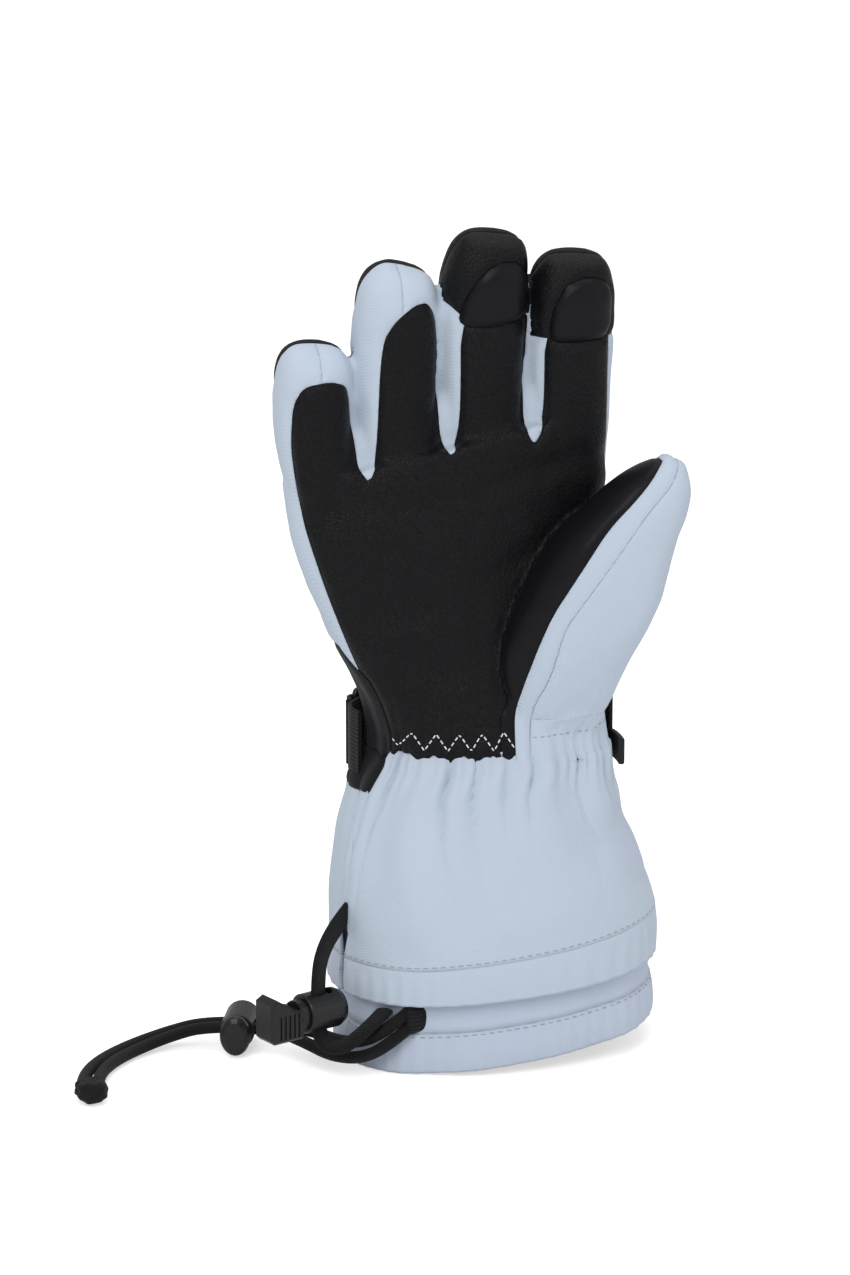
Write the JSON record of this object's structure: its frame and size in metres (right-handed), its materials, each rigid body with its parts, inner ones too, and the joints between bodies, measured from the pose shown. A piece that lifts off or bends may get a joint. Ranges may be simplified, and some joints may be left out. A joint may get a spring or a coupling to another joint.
{
  "type": "insulated gauntlet glove",
  "caption": "Insulated five-finger gauntlet glove, right hand, standing on its wide cuff, with a leather palm, wrist strap, drawcord hem and leash with cord locks.",
  "frame": {"origin": "centre of the cuff opening, in the plane the cuff stands on", "axes": "+Z from the cuff to the fingertips, -Y out of the palm, +X to the thumb side"},
  "size_m": [0.2265, 0.0897, 0.309],
  "materials": {
    "white_softshell": "fine diagonal twill softshell, matt",
    "white_lining_cuff": "plain-weave nylon, matt",
    "grain_leather": "pebble-grained synthetic leather, low sheen",
    "smooth_pu": "smooth soft synthetic leather, low sheen",
    "black_softshell": "black woven softshell, matt",
    "black_webbing": "ribbed polyester webbing, matt",
    "black_braid": "flat braided cord, matt",
    "black_elastic": "round elastic shock cord, matt",
    "white_elastic": "woven elastic",
    "cream_fleece": "brushed fleece",
    "batting": "fibre batting",
    "lock_plastic": "moulded acetal, satin",
    "tab_rubber": "moulded rubber, matt",
    "hook_tape": "hook tape",
    "ring_wire": "black coated steel wire, satin",
    "spring_wire": "spring steel"
  },
  "bodies": {
    "glove": {"back_panel": "white_softshell", "back_tip_index": "black_softshell", "back_tip_little": "black_softshell", "back_tip_middle": "black_softshell", "back_tip_ring": "black_softshell", "cuff_hem": "white_softshell", "cuff_lining": "cream_fleece", "drawcord": "black_braid", "drawcord_channel_run": "black_braid", "fourchette_little_ring": "white_softshell", "fourchette_middle_index": "white_softshell", "fourchette_ring_middle": "white_softshell", "hand_lining": "cream_fleece", "index_side_wall": "white_softshell", "index_tip_cap": "grain_leather", "index_tip_pad": "smooth_pu", "inner_cuff": "white_lining_cuff", "inner_cuff_hem": "white_lining_cuff", "insulation_back": "batting", "insulation_palm": "batting", "leash_anchor": "black_webbing", "leash_knot": "black_elastic", "leash_strand_a": "black_elastic", "leash_strand_b": "black_elastic", "little_side_wall": "white_softshell", "middle_tip_cap": "grain_leather", "middle_tip_pad": "smooth_pu", "outer_cuff_back": "white_softshell", "outer_cuff_front": "white_softshell", "palm_panel": "grain_leather", "strap_keeper": "black_webbing", "strap_ring": "ring_wire", "thumb_back_panel": "white_softshell", "thumb_base_panel": "white_softshell", "thumb_front_patch": "smooth_pu", "thumb_gusset": "white_softshell", "wrist_elastic": "white_elastic", "wrist_saddle": "black_softshell", "wrist_strap": "black_webbing"},
    "drawcord_lock": {"drawcord_lock_body": "lock_plastic"},
    "drawcord_button": {"drawcord_lock_button": "lock_plastic", "drawcord_lock_spring": "spring_wire"},
    "leash_lock": {"leash_lock_body": "lock_plastic"},
    "leash_button": {"leash_lock_button": "lock_plastic", "leash_lock_spring": "spring_wire"},
    "strap_end": {"strap_tail": "black_webbing", "strap_hook_patch": "hook_tape", "strap_pull_tab": "tab_rubber"}
  },
  "joints": [
    {"name": "drawcord_lock_slide", "type": "slide", "parent": "glove", "child": "drawcord_lock", "axis": [0, 0, 1], "range_m": [0, 0.003]},
    {"name": "drawcord_lock_press", "type": "slide", "parent": "drawcord_lock", "child": "drawcord_button", "axis": [0.9063, 0.4226, 0], "range_m": [0, 0.0025], "stiffness_N_per_m": 800, "springref_m": -0.002},
    {"name": "leash_lock_slide", "type": "slide", "parent": "glove", "child": "leash_lock", "axis": [-0.9511, 0.309, 0], "range_m": [-0.002, 0.002]},
    {"name": "leash_lock_press", "type": "slide", "parent": "leash_lock", "child": "leash_button", "axis": [0.309, 0.9511, 0], "range_m": [0, 0.0025], "stiffness_N_per_m": 800, "springref_m": -0.002},
    {"name": "strap_tail_lift", "type": "hinge", "parent": "glove", "child": "strap_end", "pos_m": [-0.03102, 0.03334, 0.116], "axis": [0, 0, 1], "range_deg": [0, 100]}
  ]
}
